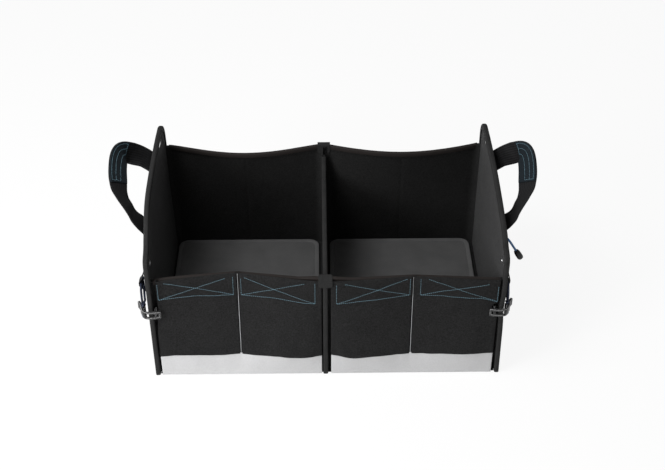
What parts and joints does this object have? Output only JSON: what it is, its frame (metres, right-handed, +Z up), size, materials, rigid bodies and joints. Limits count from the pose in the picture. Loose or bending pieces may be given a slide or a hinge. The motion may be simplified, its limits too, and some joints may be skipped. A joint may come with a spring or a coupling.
{
  "type": "car storage box",
  "caption": "Collapsible black cloth box for a car's boot, with compartments, front pockets, webbing handles and hooks on elastic cords.",
  "frame": {"origin": "centre of the underside of the base, on the surface the box stands on", "axes": "+X to the right along the length, +Y from the front pockets to the back, +Z up"},
  "size_m": [0.7566, 0.4008, 0.3297],
  "materials": {
    "black_cloth": "woven black polyester",
    "inner_cloth": "black lining cloth over board",
    "grey_cloth": "light grey woven polyester",
    "binding_tape": "black ribbed binding tape",
    "board_felt": "dark grey felt-like cloth over board",
    "handle_webbing": "black polyester webbing",
    "reflective_piping": "light grey reflective piping",
    "elastic_cord": "blue braided elastic cord",
    "dark_plastic": "dark moulded plastic",
    "eyelet_metal": "plated eyelet"
  },
  "bodies": {
    "box": {"back_centre_tab": "binding_tape", "back_wall_binding_left": "binding_tape", "back_wall_binding_right": "binding_tape", "back_wall_left": "black_cloth", "back_wall_right": "black_cloth", "base_cloth": "black_cloth", "centre_divider": "inner_cloth", "crease_piping_left": "reflective_piping", "crease_piping_right": "reflective_piping", "divider_back_binding": "binding_tape", "divider_front_binding": "binding_tape", "divider_top_binding": "binding_tape", "floor_board_left": "board_felt", "floor_board_right": "board_felt", "front_band_left": "grey_cloth", "front_band_right": "grey_cloth", "front_centre_tab": "binding_tape", "front_pocket_1": "black_cloth", "front_pocket_2": "black_cloth", "front_pocket_3": "black_cloth", "front_pocket_4": "black_cloth", "front_wall_binding_left": "binding_tape", "front_wall_binding_right": "binding_tape", "front_wall_left": "inner_cloth", "front_wall_right": "inner_cloth", "left_anchor_loop": "handle_webbing", "left_eyelet": "eyelet_metal", "left_handle": "handle_webbing", "left_hook_cord": "elastic_cord", "left_side_binding": "binding_tape", "left_side_panel": "black_cloth", "right_anchor_loop": "handle_webbing", "right_cord_end": "dark_plastic", "right_cord_tail": "elastic_cord", "right_eyelet": "eyelet_metal", "right_handle": "handle_webbing", "right_hook_cord": "elastic_cord", "right_side_binding": "binding_tape", "right_side_panel": "black_cloth"},
    "left_hook": {"left_hook": "dark_plastic"},
    "right_hook": {"right_hook": "dark_plastic"}
  },
  "joints": [
    {"name": "left_hook_swing", "type": "hinge", "parent": "box", "child": "left_hook", "pos_m": [-0.314, -0.187, 0.15], "axis": [0, 0, -1], "range_deg": [0, 50]},
    {"name": "right_hook_swing", "type": "hinge", "parent": "box", "child": "right_hook", "pos_m": [0.314, -0.187, 0.15], "axis": [0, 0, 1], "range_deg": [0, 50]}
  ]
}
